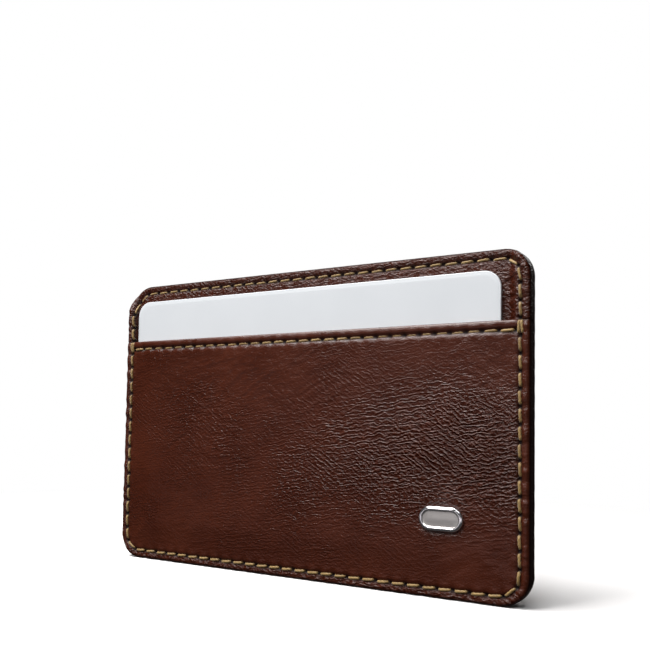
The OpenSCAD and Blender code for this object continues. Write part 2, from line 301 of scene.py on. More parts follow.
def back_height(x, z):
    inset = inset_of(x, z)
    h = BACK_FACE + stitch_relief(inset - SEAM_INSET, seam_phase(x, z)) * smooth(4.4, 3.2, inset)
    h = h + 0.6 * rim_pucker(x, z, 61) * smooth(2.2, 1.2, inset)
    calm = smooth(2.1, 4.5, inset)
    return h + wrinkles(x, z, 65, 0.07) * (0.25 + 0.75 * calm) * smooth(2.0, 2.6, inset) - 0.03


def side_split(x, z):
    """Where the front leather's rolled edge meets the back leather's."""
    top = smooth(HEIGHT - 5, HEIGHT - 1.2, z)
    return 0.08 * (1 - top) + (INNER_BACK + 0.05) * top


# --------------------------------------------------------------- mesh making

def make_object(name, verts, faces, body, nodes, material, attributes=None):
    """Makes a smooth-shaded mesh from millimetre places, ties it to its body and hides the CAD nodes it
    stands in for.
    """
    mesh = bpy.data.meshes.new(name)
    mesh.from_pydata((np.asarray(verts) * MM).tolist(), [], faces)
    for key, values in (attributes or {}).items():
        layer = mesh.attributes.new(key, "FLOAT", "POINT")
        layer.data.foreach_set("value", np.asarray(values, dtype=np.float32))
    mesh.materials.append(material)
    mesh.polygons.foreach_set("use_smooth", [True] * len(mesh.polygons))
    mesh.update()
    obj = bpy.data.objects.new(name, mesh)
    bpy.context.scene.collection.objects.link(obj)
    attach(obj, body)
    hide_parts(*nodes)
    return obj


def axis_samples(low, high, inner, steps_low, steps_high):
    """Grid lines along one axis: a core coordinate, a ring number and a side for each."""
    core = np.concatenate([np.full(steps_low, low), inner, np.full(steps_high, high)])
    ring = np.concatenate([np.arange(steps_low, 0, -1), np.zeros(len(inner), int),
                           np.arange(1, steps_high + 1)])
    side = np.concatenate([-np.ones(steps_low), np.zeros(len(inner)), np.ones(steps_high)])
    return core, ring.astype(int), side


def edge_rings(corner, roll, flat_step, roll_steps=8, side_steps=4, tuck=0.7, share=0.48):
    """Rings outwards from a corner's centre: reach, place along the section, and share of the drop."""
    flat = np.arange(flat_step, corner - roll, flat_step)
    flat = np.append(flat, corner - roll)
    angle = np.linspace(0, math.pi / 2, roll_steps + 1)[1:]
    reach = np.concatenate([[0], flat, corner - roll + roll * np.sin(angle),
                            np.full(side_steps, corner), [corner - tuck * 0.25, corner - tuck]])
    drop = np.concatenate([np.zeros(len(flat) + 1), share * (1 - np.cos(angle)),
                           np.linspace(share, 1, side_steps + 1)[1:], [1, 1]])
    along = np.maximum.accumulate(reach) + 0.6 * drop
    return reach, along + 1e-4 * np.arange(len(along)), drop


def panel(run_x, low, high, rings, xs, zs, height, end, fold=None):
    """A sheet with rolled edges as one grid. fold=(radius, back level, steps) turns its top
    edge over instead of rounding its top corners. Returns the grid's x, z and h."""
    reach, along, drop = rings
    n = len(reach) - 1
    cx, rx, sx = axis_samples(-run_x, run_x, xs, n, n)
    fold_steps = fold[2] if fold else 0
    cz, rz, sz = axis_samples(low, high, zs, n, 0 if fold else n)
    angle = np.zeros(len(cz))
    if fold:
        turned = np.linspace(0, math.pi, fold_steps + 1)[1:]
        cz = np.concatenate([cz, high + fold[0] * np.sin(turned)])
        rz = np.concatenate([rz, np.zeros(fold_steps, int)])
        sz = np.concatenate([sz, np.zeros(fold_steps)])
        angle = np.concatenate([angle, turned])
    CX, CZ = np.meshgrid(cx, cz)
    RX, RZ = np.meshgrid(rx, rz)
    SX, SZ = np.meshgrid(sx, sz)
    ring = np.maximum(RX, RZ)
    a, b = along[RX] * (RX > 0), along[RZ] * (RZ > 0)
    big = np.maximum(np.maximum(a, b), 1e-9)
    theta = np.where(a >= b, (b / big) * math.pi / 4, math.pi / 2 - (a / big) * math.pi / 4)
    theta = np.where(RZ == 0, 0, np.where(RX == 0, math.pi / 2, theta))
    dx, dz = SX * np.cos(theta), SZ * np.sin(theta)
    flat_reach = np.minimum(reach[ring], reach[drop == 0].max())
    crest = height(CX + dx * flat_reach, CZ + dz * flat_reach)
    x, z = CX + dx * reach[ring], CZ + dz * reach[ring]
    h = crest - drop[ring] * (crest - end(x, z))
    if fold:
        back = np.minimum(h, fold[1])
        h = h + (back - h) * (1 - np.cos(angle))[:, None] / 2
    return x, z, h


def panel_object(name, grid, sign, body, nodes, material, under=None, attributes=None):
    """Closes the grid's underside with a fan and makes the object. sign is -1 for a front piece.
    The fan runs straight from the grid's edge to one middle point at the level under. A known
    fault: it doesn't lie on the real leather's rear face, so out of sight it passes through
    layers that touch that leather, and behind the pocket through the card."""
    x, z, h = grid
    rows, cols = x.shape
    verts = np.stack([x, sign * h, z], axis=-1).reshape(-1, 3)
    index = np.arange(rows * cols).reshape(rows, cols)
    quads = np.stack([index[:-1, :-1], index[:-1, 1:], index[1:, 1:], index[1:, :-1]], axis=-1)
    quads = quads.reshape(-1, 4)
    loop = np.concatenate([index[0, :-1], index[:-1, -1], index[-1, :0:-1], index[:0:-1, 0]])
    centre = len(verts)
    level = np.mean(verts[loop, 1]) if under is None else sign * under
    verts = np.vstack([verts, [np.mean(x), level, np.mean(z[:, 0])]])
    fan = np.stack([np.roll(loop, -1), loop, np.full(len(loop), centre)], axis=-1)
    if sign > 0:
        quads, fan = quads[:, ::-1], fan[:, ::-1]
    faces = quads.tolist() + fan.tolist()
    values = {k: np.append(v.reshape(-1), 0) for k, v in (attributes or {}).items()}
    return make_object(name, verts, faces, body, nodes, material, values)


# Painted shade in a stitch groove, darkest at the needle holes.
def hole_shade(across, whole):
    groove = hill(across, 0.40)
    return 0.22 * groove + groove * hill(whole, 0.48)


def seam_shade(x, z, with_mouth):
    """How much painted shade lies in the grooves and needle holes, from 0 to 1."""
    inset, phase = inset_of(x, z), seam_phase(x, z)
    whole = np.abs(phase - np.round(phase)) * EDGE_PITCH
    shade = hole_shade(inset - SEAM_INSET, whole)
    if with_mouth:
        phase = (x + MOUTH_HALF) / MOUTH_PITCH
        whole = np.abs(phase - np.round(phase)) * MOUTH_PITCH
        within = np.abs(x) < MOUTH_HALF + 0.6
        shade = np.maximum(shade, within * hole_shade(z - MOUTH_SEAM, whole))
    return np.clip(shade, 0, 1)


def edge_paint(x, z, h, sign):
    """Dark edge paint over the cut side of the leather, from 0 to 1."""
    low = smooth(0.34, 0.08, inset_of(x, z)) * (0.25 + 0.75 * smooth(0.4, 5, z))
    return low * smooth(FRONT - 0.25, FRONT - 0.5, h) if sign < 0 else low


# ------------------------------------------------------------------ materials

def new_material(name):
    material = bpy.data.materials.new(name)
    material.use_nodes = True
    tree = material.node_tree
    return material, tree, tree.nodes["Principled BSDF"]


def link(tree, a, b):
    tree.links.new(a, b)


def add(tree, kind, **inputs):
    node = tree.nodes.new(kind)
    for key, value in inputs.items():
        node.inputs[key.replace("_", " ")].default_value = value
    return node


def math_node(tree, operation, a, b=None):
    node = tree.nodes.new("ShaderNodeMath")
    node.operation = operation
    for socket, value in zip(node.inputs, (a, b)):
        if isinstance(value, (int, float)):
            socket.default_value = value
        elif value is not None:
            link(tree, value, socket)
    return node.outputs[0]


def stretched(tree, scale):
    coord = tree.nodes.new("ShaderNodeTexCoord")
    mapping = tree.nodes.new("ShaderNodeMapping")
    mapping.inputs["Scale"].default_value = scale
    link(tree, coord.outputs["Object"], mapping.inputs["Vector"])
    return mapping.outputs["Vector"]


def noise_at(tree, vector, scale, detail=3, roughness=0.5, distortion=0.0):
    node = add(tree, "ShaderNodeTexNoise", Scale=scale, Detail=detail, Roughness=roughness,
               Distortion=distortion)
    link(tree, vector, node.inputs["Vector"])
    return node.outputs["Fac"]


def weighted(tree, *terms):
    """The sum of each term's value times its weight."""
    total = None
    for value, weight in terms:
        part = math_node(tree, "MULTIPLY", value, weight)
        total = part if total is None else math_node(tree, "ADD", total, part)
    return total


def bumped(tree, shader, height, strength, distance):
    bump = add(tree, "ShaderNodeBump", Strength=strength, Distance=distance)
    link(tree, height, bump.inputs["Height"])
    link(tree, bump.outputs["Normal"], shader.inputs["Normal"])


def ramp(tree, factor, stops):
    node = tree.nodes.new("ShaderNodeValToRGB")
    while len(node.color_ramp.elements) < len(stops):
        node.color_ramp.elements.new(0.5)
    for element, (position, colour) in zip(node.color_ramp.elements, stops):
        element.position = position
        element.color = (*colour, 1)
    link(tree, factor, node.inputs["Fac"])
    return node.outputs["Color"]


def attribute(tree, name):
    node = tree.nodes.new("ShaderNodeAttribute")
    node.attribute_name = name
    return node.outputs["Fac"]


def mixed_colour(tree, factor, a, b):
    """b over a; b is a plain colour."""
    mix = tree.nodes.new("ShaderNodeMix")
    mix.data_type = "RGBA"
    link(tree, factor, mix.inputs["Factor"])
    link(tree, a, mix.inputs["A"])
    mix.inputs["B"].default_value = (*b, 1)
    return mix.outputs["Result"]


def turned(tree, angle, scale):
    """Object coordinates in millimetres, turned about y and then scaled."""
    coord = tree.nodes.new("ShaderNodeTexCoord")
    mapping = tree.nodes.new("ShaderNodeMapping")
    mapping.vector_type = "TEXTURE"
    mapping.inputs["Rotation"].default_value = (0, math.radians(angle), 0)
    mapping.inputs["Scale"].default_value = tuple(MM / v for v in scale)
    link(tree, coord.outputs["Object"], mapping.inputs["Vector"])
    return mapping.outputs["Vector"]


def creases(tree, angle, scale, seed, width):
    """Thin valleys along the level lines of a warped noise, 0 in a valley and 1 on the leather."""
    node = tree.nodes.new("ShaderNodeTexNoise")
    node.noise_dimensions = "4D"
    for key, value in (("W", seed), ("Scale", 1.0), ("Detail", 1.0), ("Roughness", 0.5),
                       ("Distortion", 1.0)):
        node.inputs[key].default_value = value
    link(tree, turned(tree, angle, scale), node.inputs["Vector"])
    away = math_node(tree, "ABSOLUTE", math_node(tree, "SUBTRACT", node.outputs["Fac"], 0.5))
    return math_node(tree, "MINIMUM", math_node(tree, "DIVIDE", away, width), 1.0)


def pillows(tree, angle, scale, warp, width):
    """Small raised cells parted by narrow valleys, their outlines made wavy by a noise."""
    place = turned(tree, angle, scale)
    noise = add(tree, "ShaderNodeTexNoise", Scale=1.1, Detail=1.0, Roughness=0.5)
    link(tree, place, noise.inputs["Vector"])
    shift = tree.nodes.new("ShaderNodeVectorMath")
    shift.operation = "MULTIPLY_ADD"
    link(tree, noise.outputs["Color"], shift.inputs[0])
    shift.inputs[1].default_value = (warp, warp, warp)
    link(tree, place, shift.inputs[2])
    cells = add(tree, "ShaderNodeTexVoronoi", Scale=1.0, Randomness=0.9)
    cells.feature = "DISTANCE_TO_EDGE"
    link(tree, shift.outputs["Vector"], cells.inputs["Vector"])
    return math_node(tree, "MINIMUM", math_node(tree, "DIVIDE", cells.outputs["Distance"], width), 1.0)


def waves(tree, angle, period, distortion, detail_scale):
    """Wavy parallel ridges, 0 to 1, period millimetres apart."""
    node = tree.nodes.new("ShaderNodeTexWave")
    node.bands_direction = "Z"
    for key, value in (("Scale", WAVE_CYCLE / period), ("Distortion", distortion), ("Detail", 1.5),
                       ("Detail Scale", detail_scale), ("Detail Roughness", 0.5)):
        node.inputs[key].default_value = value
    link(tree, turned(tree, angle, (0.6, 1, 1)), node.inputs["Vector"])
    return node.outputs["Fac"]


def leather_ripple(tree):
    """Fine ridges in two directions, each strongest where the other fades."""
    gather = noise_at(tree, stretched(tree, (110, 110, 190)), 1.0, 2, 0.5)
    gather = math_node(tree, "MULTIPLY", math_node(tree, "SUBTRACT", gather, 0.22), 1.9)
    ridges = math_node(tree, "POWER", waves(tree, -8, 0.72, 7.0, 2.8), 1.8)
    crossing = math_node(tree, "POWER", waves(tree, 33, 0.8, 6.0, 2.4), 1.8)
    ridges = math_node(tree, "MULTIPLY", ridges, gather)
    crossing = math_node(tree, "MULTIPLY", crossing, math_node(tree, "SUBTRACT", 0.8, gather))
    crossing = math_node(tree, "MAXIMUM", crossing, 0.0)
    return math_node(tree, "ADD", ridges, crossing)


def leather_pebble(tree, fine):
    """Pebbled grain, 0 between the pebbles and 1 on them."""
    cells = add(tree, "ShaderNodeTexVoronoi", Scale=2.3, Randomness=1.0)
    cells.feature = "DISTANCE_TO_EDGE"
    link(tree, fine, cells.inputs["Vector"])
    return math_node(tree, "MINIMUM", math_node(tree, "MULTIPLY", cells.outputs["Distance"], 3.5), 1.0)


def leather_crease_shade(tree, across, ripple, wrinkle):
    """How deep a place lies between the wrinkles, for painted shade there and duller leather."""
    raised = weighted(tree, (across, 0.4), (ripple, 1.6))
    crease_shade = math_node(tree, "SUBTRACT", 1.5, raised)
    crease_shade = math_node(tree, "MULTIPLY", math_node(tree, "MULTIPLY", crease_shade, wrinkle), 0.55)
    return math_node(tree, "MAXIMUM", math_node(tree, "MINIMUM", crease_shade, 0.7), 0.0)


def leather_material(name, dark, light, gloss=0.29):
    material, tree, shader = new_material(name)
    fine = stretched(tree, PER_MM)
    wrinkle = attribute(tree, "wrinkle")
    shade = attribute(tree, "shade")
    paint = attribute(tree, "paint")
    across = pillows(tree, -10, (1.7, 1.0, 0.9), 1.3, 0.34)
    slanted = creases(tree, -36, (0.8, 1.0, 2.2), 3.0, 0.10)
    steep = creases(tree, 44, (0.7, 1.0, 2.0), 7.0, 0.09)
    ripple = leather_ripple(tree)
    pebble = leather_pebble(tree, fine)
    pores = noise_at(tree, fine, 4.0, 2, 0.6)
    blotch = noise_at(tree, fine, 0.09, 3, 0.55)
    folds = weighted(tree, (across, 0.14), (slanted, 0.24), (steep, 0.14), (ripple, 0.95))
    folds = math_node(tree, "MULTIPLY", folds, wrinkle)
    grain = weighted(tree, (pebble, 0.07), (pores, 0.05))
    bumped(tree, shader, math_node(tree, "ADD", folds, grain), 1.0, 0.00024)
    crease_shade = leather_crease_shade(tree, across, ripple, wrinkle)
    tone = weighted(tree, (blotch, 0.8), (pebble, 0.12))
    colour = ramp(tree, tone, [(0.34, dark), (0.66, light)])
    # Painted shade darkens the leather down in the creases between wrinkles.
    colour = mixed_colour(tree, crease_shade, colour, (dark[0] * 0.35, dark[1] * 0.3, dark[2] * 0.3))
    # Painted shade: the leather turns nearly black in the seam grooves and needle holes.
    colour = mixed_colour(tree, shade, colour, (dark[0] * 0.12, dark[1] * 0.1, dark[2] * 0.1))
    colour = mixed_colour(tree, paint, colour, (0.016, 0.0052, 0.0042))
    link(tree, colour, shader.inputs["Base Color"])
    rough = math_node(tree, "ADD", math_node(tree, "MULTIPLY", blotch, 0.2), gloss - 0.1)
    rough = math_node(tree, "ADD", rough, math_node(tree, "MULTIPLY", shade, 0.35))
    rough = math_node(tree, "ADD", rough, math_node(tree, "MULTIPLY", paint, 0.2))
    link(tree, rough, shader.inputs["Roughness"])
    shine = math_node(tree, "SUBTRACT", 0.4, math_node(tree, "MULTIPLY", crease_shade, 0.38))
    shine = math_node(tree, "SUBTRACT", shine, math_node(tree, "MULTIPLY", paint, 0.36))
    shine = math_node(tree, "MAXIMUM", shine, 0.04)
    link(tree, shine, shader.inputs["Specular IOR Level"])
    return material


def thread_material():
    material, tree, shader = new_material("thread_twisted")
    fine = stretched(tree, PER_MM)
    fibres = noise_at(tree, fine, 9.0, 3, 0.6)
    tone = noise_at(tree, fine, 0.5, 2, 0.5)
    mixed = weighted(tree, (fibres, 0.55), (tone, 0.45))
    colour = ramp(tree, mixed, [(0.32, (0.13, 0.074, 0.020)), (0.5, (0.275, 0.172, 0.050)),
                                (0.72, (0.43, 0.295, 0.108))])
    # Painted shade where the thread sinks into its holes and between its plies.
    colour = mixed_colour(tree, attribute(tree, "shade"), colour, (0.05, 0.028, 0.01))
    link(tree, colour, shader.inputs["Base Color"])
    bumped(tree, shader, fibres, 0.5, 0.00005)
    shader.inputs["Roughness"].default_value = 0.55
    shader.inputs["Sheen Weight"].default_value = 0.25
    return material


def metal_material(name, roughness, colour):
    material, tree, shader = new_material(name)
    fine = stretched(tree, (300, 1000, 5200))
    streaks = noise_at(tree, fine, 1.0, 3, 0.6)
    rough = math_node(tree, "ADD", math_node(tree, "MULTIPLY", streaks, 0.12), roughness - 0.06)
    link(tree, rough, shader.inputs["Roughness"])
    tint = ramp(tree, streaks, [(0.3, tuple(c * 0.88 for c in colour)), (0.7, colour)])
    link(tree, tint, shader.inputs["Base Color"])
    bumped(tree, shader, streaks, 0.12, 0.00002)
    shader.inputs["Metallic"].default_value = 1.0
    return material


def card_material():
    material, tree, shader = new_material("card_satin")
    fine = stretched(tree, PER_MM)
    mottle = noise_at(tree, fine, 0.06, 2, 0.5)
    texture = noise_at(tree, fine, 4.0, 2, 0.5)
    colour = ramp(tree, mottle, [(0.3, (0.675, 0.715, 0.745)), (0.7, (0.71, 0.75, 0.78))])
    link(tree, colour, shader.inputs["Base Color"])
    rough = math_node(tree, "ADD", math_node(tree, "MULTIPLY", texture, 0.08), 0.34)
    link(tree, rough, shader.inputs["Roughness"])
    bumped(tree, shader, texture, 0.08, 0.00002)
    return material


def woven_material(name, dark, light, pitch):
    """Plain weave, two crossed sets of threads."""
    material, tree, shader = new_material(name)
    coord = stretched(tree, (1000 / pitch, 1000 / pitch, 1000 / pitch))
    split = tree.nodes.new("ShaderNodeSeparateXYZ")
    link(tree, coord, split.inputs[0])
    warp = math_node(tree, "SINE", math_node(tree, "MULTIPLY", split.outputs["X"], 2 * math.pi))
    weft = math_node(tree, "SINE", math_node(tree, "MULTIPLY", split.outputs["Z"], 2 * math.pi))
    weave = math_node(tree, "MULTIPLY", warp, weft)
    weave = math_node(tree, "ADD", math_node(tree, "MULTIPLY", weave, 0.5), 0.5)
    link(tree, ramp(tree, weave, [(0.0, dark), (1.0, light)]), shader.inputs["Base Color"])
    bumped(tree, shader, weave, 0.6, 0.00008)
    shader.inputs["Roughness"].default_value = 0.8
    shader.inputs["Sheen Weight"].default_value = 0.2
    return material


def board_material():
    material, tree, shader = new_material("fibre_board")
    fine = stretched(tree, PER_MM)
    fibre = noise_at(tree, fine, 2.0, 5, 0.7, 1.5)
    colour = ramp(tree, fibre, [(0.3, (0.33, 0.26, 0.17)), (0.7, (0.55, 0.46, 0.33))])
    link(tree, colour, shader.inputs["Base Color"])
    bumped(tree, shader, fibre, 0.4, 0.00005)
    shader.inputs["Roughness"].default_value = 0.85
    return material


front_leather = leather_material("front_leather_grain", (0.049, 0.0088, 0.0027), (0.076, 0.0150, 0.0050))
back_leather = leather_material("back_leather_grain", (0.054, 0.0088, 0.0026), (0.084, 0.015, 0.005))
edge_leather = leather_material("edge_leather_dark", (0.012, 0.005, 0.004), (0.028, 0.010, 0.007), gloss=0.5)
thread = thread_material()
nickel_rim = metal_material("nickel_polished", 0.16, (0.86, 0.86, 0.88))
nickel_face = metal_material("nickel_satin", 0.42, (0.70, 0.685, 0.66))
card_plastic = card_material()
lining_cloth = woven_material("lining_weave", (0.03, 0.016, 0.011), (0.085, 0.05, 0.035), 0.32)
tape_cloth = woven_material("tape_weave", (0.5, 0.46, 0.38), (0.74, 0.7, 0.62), 0.25)
board = board_material()


# ------------------------------------------------------------ leather pieces

def make_pocket():
    xs = np.linspace(-RUN_X, RUN_X, 278)
    zs = np.linspace(CORNER, MOUTH - FOLD_R, 146)
    rings = edge_rings(CORNER, ROLL, 0.21)
    grid = panel(RUN_X, CORNER, MOUTH - FOLD_R, rings, xs, zs, pocket_height, side_split,
                 fold=(FOLD_R, SLOT_ROOF + 0.02, 10))
    attributes = {"shade": seam_shade(grid[0], grid[1], True), "paint": edge_paint(*grid, -1),
                  "wrinkle": wrinkle_mask(*grid[:2])}
    panel_object("pocket_panel_leather", grid, -1, "wallet", ["pocket_panel"],
                 front_leather, under=SLOT_ROOF + 0.12, attributes=attributes)


def make_inner():
    xs = np.linspace(-RUN_X, RUN_X, 278)
    zs = np.concatenate([np.linspace(CORNER, MOUTH - 1.5, 12), np.linspace(MOUTH - 1.0, MOUTH - 0.2, 4),
                         np.arange(MOUTH - 0.1, MOUTH + 0.8, 0.1),
                         np.arange(MOUTH + 0.9, HEIGHT - CORNER, 0.22)])
    zs = np.append(zs, HEIGHT - CORNER)
    rings = edge_rings(CORNER, ROLL, 0.21)

    def end(x, z):
        return np.where(z < MOUTH - 0.2, INNER_BACK + 0.05, side_split(x, z))

    x, z, h = panel(RUN_X, CORNER, HEIGHT - CORNER, rings, xs, zs, inner_height, end)
    drawn_in = 0.34
    hidden = smooth(MOUTH + 0.15, MOUTH - 0.6, z)
    x = x * (1 - hidden * drawn_in / (WIDTH / 2))
    z = z + drawn_in * smooth(CORNER, 0, z)
    shade = seam_shade(x, z, False) * smooth(MOUTH - 0.4, MOUTH + 0.2, z)
    panel_object("inner_panel_leather", (x, z, h), -1, "wallet", ["inner_panel"],
                 front_leather, under=INNER_BACK + 0.02,
                 attributes={"shade": shade, "paint": edge_paint(x, z, h, -1),
                             "wrinkle": np.full_like(x, 0.55)})


def make_back():
    xs = np.linspace(-RUN_X, RUN_X, 230)
    zs = np.linspace(CORNER, HEIGHT - CORNER, 140)
    rings = edge_rings(CORNER, ROLL, 0.24)

    def end(x, z):
        return -side_split(x, z) + 0.03

    grid = panel(RUN_X, CORNER, HEIGHT - CORNER, rings, xs, zs, back_height, end)
    shade = seam_shade(grid[0], grid[1], False)
    panel_object("back_panel_leather", grid, 1, "wallet", ["back_panel"],
                 back_leather, under=-INNER_BACK + 0.45,
                 attributes={"shade": shade, "paint": edge_paint(*grid, 1),
                             "wrinkle": np.full_like(grid[0], 0.3)})


# ------------------------------------------------------------------- threads

def stitch_mesh(p, q, level_p, level_q, sign, radius, slant, seed, aside=0.0, dive=0.62):
    """One stitch of two-ply twisted thread that dives into a needle hole at each end."""
    p, q = np.array(p), np.array(q)
    length = np.linalg.norm(q - p)
    forward = (q - p) / length
    across = np.array([-forward[1], forward[0]])
    t = np.linspace(0, math.pi, STITCH_ROWS)
    bend = np.sign(np.cos(t)) * np.abs(np.cos(t)) ** 0.62
    half = length / 2 - 0.46
    along = length / 2 - half * bend
    rise = np.abs(np.sin(t)) ** 0.42
    level = level_p + (level_q - level_p) * along / length
    wobble = 0.03 * math.sin(seed * 12.9898)
    centre_h = level - dive + (dive + radius * 0.75 + wobble) * rise
    side = aside + slant * (along / length - 0.5) + 0.04 * math.sin(seed * 4.1)
    centre = p[:, None] + forward[:, None] * along + across[:, None] * side
    points = np.stack([centre[0], sign * centre_h, centre[1]], axis=-1)
    tangent = np.gradient(points, axis=0)
    tangent /= np.linalg.norm(tangent, axis=1)[:, None]
    side_axis = np.array([across[0], 0, across[1]])
    up_axis = np.cross(tangent, side_axis)
    ring = np.arange(STITCH_SIDES) * 2 * math.pi / STITCH_SIDES
    run = np.concatenate([[0], np.cumsum(np.linalg.norm(np.diff(points, axis=0), axis=1))])
    twist = 2 * math.pi * run / TWIST_PITCH + seed
    bulge = np.abs(np.cos(ring[None, :] - twist[:, None]))
    ply = 1 + 0.17 * bulge - 0.11
    wide, tall = radius * ply * np.cos(ring), radius * 0.86 * ply * np.sin(ring)
    verts = points[:, None, :] + wide[..., None] * side_axis + tall[..., None] * up_axis[:, None, :]
    # Painted shade: the thread darkens where it dives below the leather and in the grooves between its
    # plies.
    shade = np.repeat(1 - smooth(-0.25, 0.12, centre_h - level), STITCH_SIDES)
    groove = (1 - bulge).reshape(-1) ** 4
    return verts.reshape(-1, 3), np.clip(shade + 0.55 * groove, 0, 1)


def thread_object(name, stitches, node):
    verts, faces, shades, offset = [], [], [], 0
    for arguments in stitches:
        v, shade = stitch_mesh(**arguments)
        index = np.arange(STITCH_ROWS * STITCH_SIDES).reshape(STITCH_ROWS, STITCH_SIDES) + offset
        turned = np.roll(index, -1, axis=1)
        quads = np.stack([index[:-1], index[1:], turned[1:], turned[:-1]], axis=-1).reshape(-1, 4)
        faces += quads.tolist() + [index[0].tolist(), index[-1, ::-1].tolist()]
        verts.append(v)
        shades.append(shade)
        offset += len(v)
    make_object(name, np.vstack(verts), faces, "wallet", [node], thread,
                {"shade": np.concatenate(shades)})


def front_level(x, z):
    """Floor of the edge seam's groove, on whichever leather it runs over."""
    if z <= MOUTH:
        return POCKET_FACE - GROOVE * 0.9
    crest = float(rim_level(np.array(x), np.array(z)))
    return crest - GROOVE * 0.9 - 0.1 * float(smooth(HEIGHT - 7, HEIGHT - 3, z))


def edge_stitch(i, sign, aside=0.0, radius=THREAD_R, slant=0.24):
    p, q = seam_point(i), seam_point(i + 1)
    if sign < 0:
        levels = front_level(*p), front_level(*q)
    else:
        levels = (BACK - 0.1 - GROOVE,) * 2
    on_top = max(p[1], q[1]) > HEIGHT - 4.5 and sign < 0
    return dict(p=p, q=q, level_p=levels[0], level_q=levels[1], sign=sign, slant=slant,
                radius=radius * (0.82 if on_top else 1), seed=i + 100 * (sign > 0), aside=aside)


def mouth_stitch(i, sign):
    p = (i * MOUTH_PITCH - MOUTH_HALF, MOUTH_SEAM)
    q = (p[0] + MOUTH_PITCH, MOUTH_SEAM)
    level = FRONT - 0.1 - GROOVE * 0.85
    if sign > 0:
        level = -SLOT_ROOF - 0.42
    return dict(p=p, q=q, level_p=level, level_q=level, sign=sign, seed=i + 300, slant=0.14,
                radius=THREAD_R if sign < 0 else 0.17, dive=0.5 if sign < 0 else 0.1)


def make_threads():
    left, right = EDGE_STITCHES - 1 - TACK, TACK
    needle = [edge_stitch(i, -1) for i in range(EDGE_STITCHES) if i not in (left, right)]
    thread_object("edge_thread_needle", needle, "edge_thread_front")
    thread_object("edge_thread_bobbin", [edge_stitch(i, 1) for i in range(EDGE_STITCHES)],
                  "edge_thread_back")
    thread_object("mouth_thread_needle", [mouth_stitch(i, -1) for i in range(MOUTH_STITCHES)],
                  "mouth_thread_front")
    thread_object("mouth_thread_bobbin", [mouth_stitch(i, 1) for i in range(MOUTH_STITCHES)],
                  "mouth_thread_back")
    for side, i in (("left", left), ("right", right)):
        rows = [edge_stitch(i, -1, aside, THREAD_R * 0.95, slant)
                for aside, slant in ((-0.27, 0.3), (0.27, -0.1))]
        thread_object("bar_tack_thread_" + side, rows, "bar_tack_" + side)


# ------------------------------------------------------------- card and badge

def rounded_plate(name, low, high, corner, front, rear, rings, height, body, node, material,
                  step=3.0):
    """A plate with rounded corners in plan; height gives its front from the inset."""
    centre = (low + high) / 2
    run_x, run_z = (high[0] - low[0]) / 2 - corner, (high[2] - low[2]) / 2 - corner
    xs = np.linspace(-run_x, run_x, max(2, int(2 * run_x / step) + 1))
    zs = np.array([0.0])
    if run_z > 0.01:
        zs = np.linspace(-run_z, run_z, max(2, int(2 * run_z / step) + 1))

    def shape(x, z):
        q = np.hypot(np.maximum(np.abs(x) - run_x, 0), np.maximum(np.abs(z) - run_z, 0))
        return front + height(corner - q)

    x, z, h = panel(run_x, -max(run_z, 0), max(run_z, 0), rings, xs, zs, shape, lambda x, z: rear)
    grid = x + centre[0], z + centre[2], h
    return panel_object(name, grid, -1, body, [node], material, under=rear)


def make_card():
    front, rear = -card_low[1], -card_high[1]
    rings = edge_rings(CARD_CORNER, 0.16, 0.12, roll_steps=5, side_steps=2, tuck=0.16, share=0.2)
    rounded_plate("blank_card", card_low, card_high, CARD_CORNER, front, rear, rings,
                  lambda inset: -0.045 * smooth(0.9, 0.15, inset), "card", "card", card_plastic)


def make_badge():
    front = -badge_low[1]
    corner = (badge_high[2] - badge_low[2]) / 2
    rings = edge_rings(corner, 0.3, 0.07, roll_steps=7, side_steps=3, tuck=0.3, share=0.5)

    def face(inset):
        sunk = -0.22 * smooth(0.62, 0.86, inset)
        return sunk - 0.06 * smooth(0.45, 0.3, inset) + 0.05 * smooth(1.0, 2.2, inset)

    badge = rounded_plate("badge_plate", badge_low, badge_high, corner, front - 0.03, FRONT - 0.25,
                          rings, face, "wallet", "badge", nickel_rim, step=0.25)
    badge.data.materials.append(nickel_face)
    centre = (badge_low + badge_high) / 2
    half = (badge_high[0] - badge_low[0]) / 2 - corner
    for polygon in badge.data.polygons:
        c = polygon.center / MM
        away = math.hypot(max(abs(c.x - centre[0]) - half, 0), c.z - centre[2])
        if corner - away > 0.72 and -c.y > FRONT:
            polygon.material_index = 1


# ----------------------------------------------------------- the inner pieces

def dress(node, material):
    """Gives a piece that keeps its CAD shape its material."""
    obj = frame["nodes"][node]
    obj.data.materials.clear()
    obj.data.materials.append(material)


def outline_x(z):
    """Half the wallet's width at a height."""
    drop = max(CORNER - z, z - (HEIGHT - CORNER), 0)
    return RUN_X + math.sqrt(max(CORNER ** 2 - drop ** 2, 0))


def make_strip(name, node, rows, side, inner, level):
    """A spacer strip of leather inside the rim, a little smaller than its CAD solid. side is -1 or 1,
    or 0 for a strip that runs the whole width; inner is its inner edge and level its front at a row."""
    verts = []
    for z in rows:
        out = outline_x(z) - 0.14
        x0, x1 = (-out, out) if side == 0 else (side * inner, side * out)
        low, high = SLOT_FLOOR + 0.03, level(z)
        ease = min(0.12, (high - low) / 3)
        section = [(x0, low), (x1, low), (x1, high - ease), (x1 - math.copysign(ease, x1 - x0), high),
                   (x0 + math.copysign(ease, x1 - x0), high), (x0, high - ease)]
        verts += [(x, -h, z) for x, h in section]
    n, m = 6, len(rows)
    faces = [(i * n + j, (i + 1) * n + j, (i + 1) * n + (j + 1) % n, i * n + (j + 1) % n)
             for i in range(m - 1) for j in range(n)]
    faces += [tuple(range(n)), tuple(range((m - 1) * n, m * n))[::-1]]
    make_object(name, verts, faces, "wallet", [node], edge_leather)


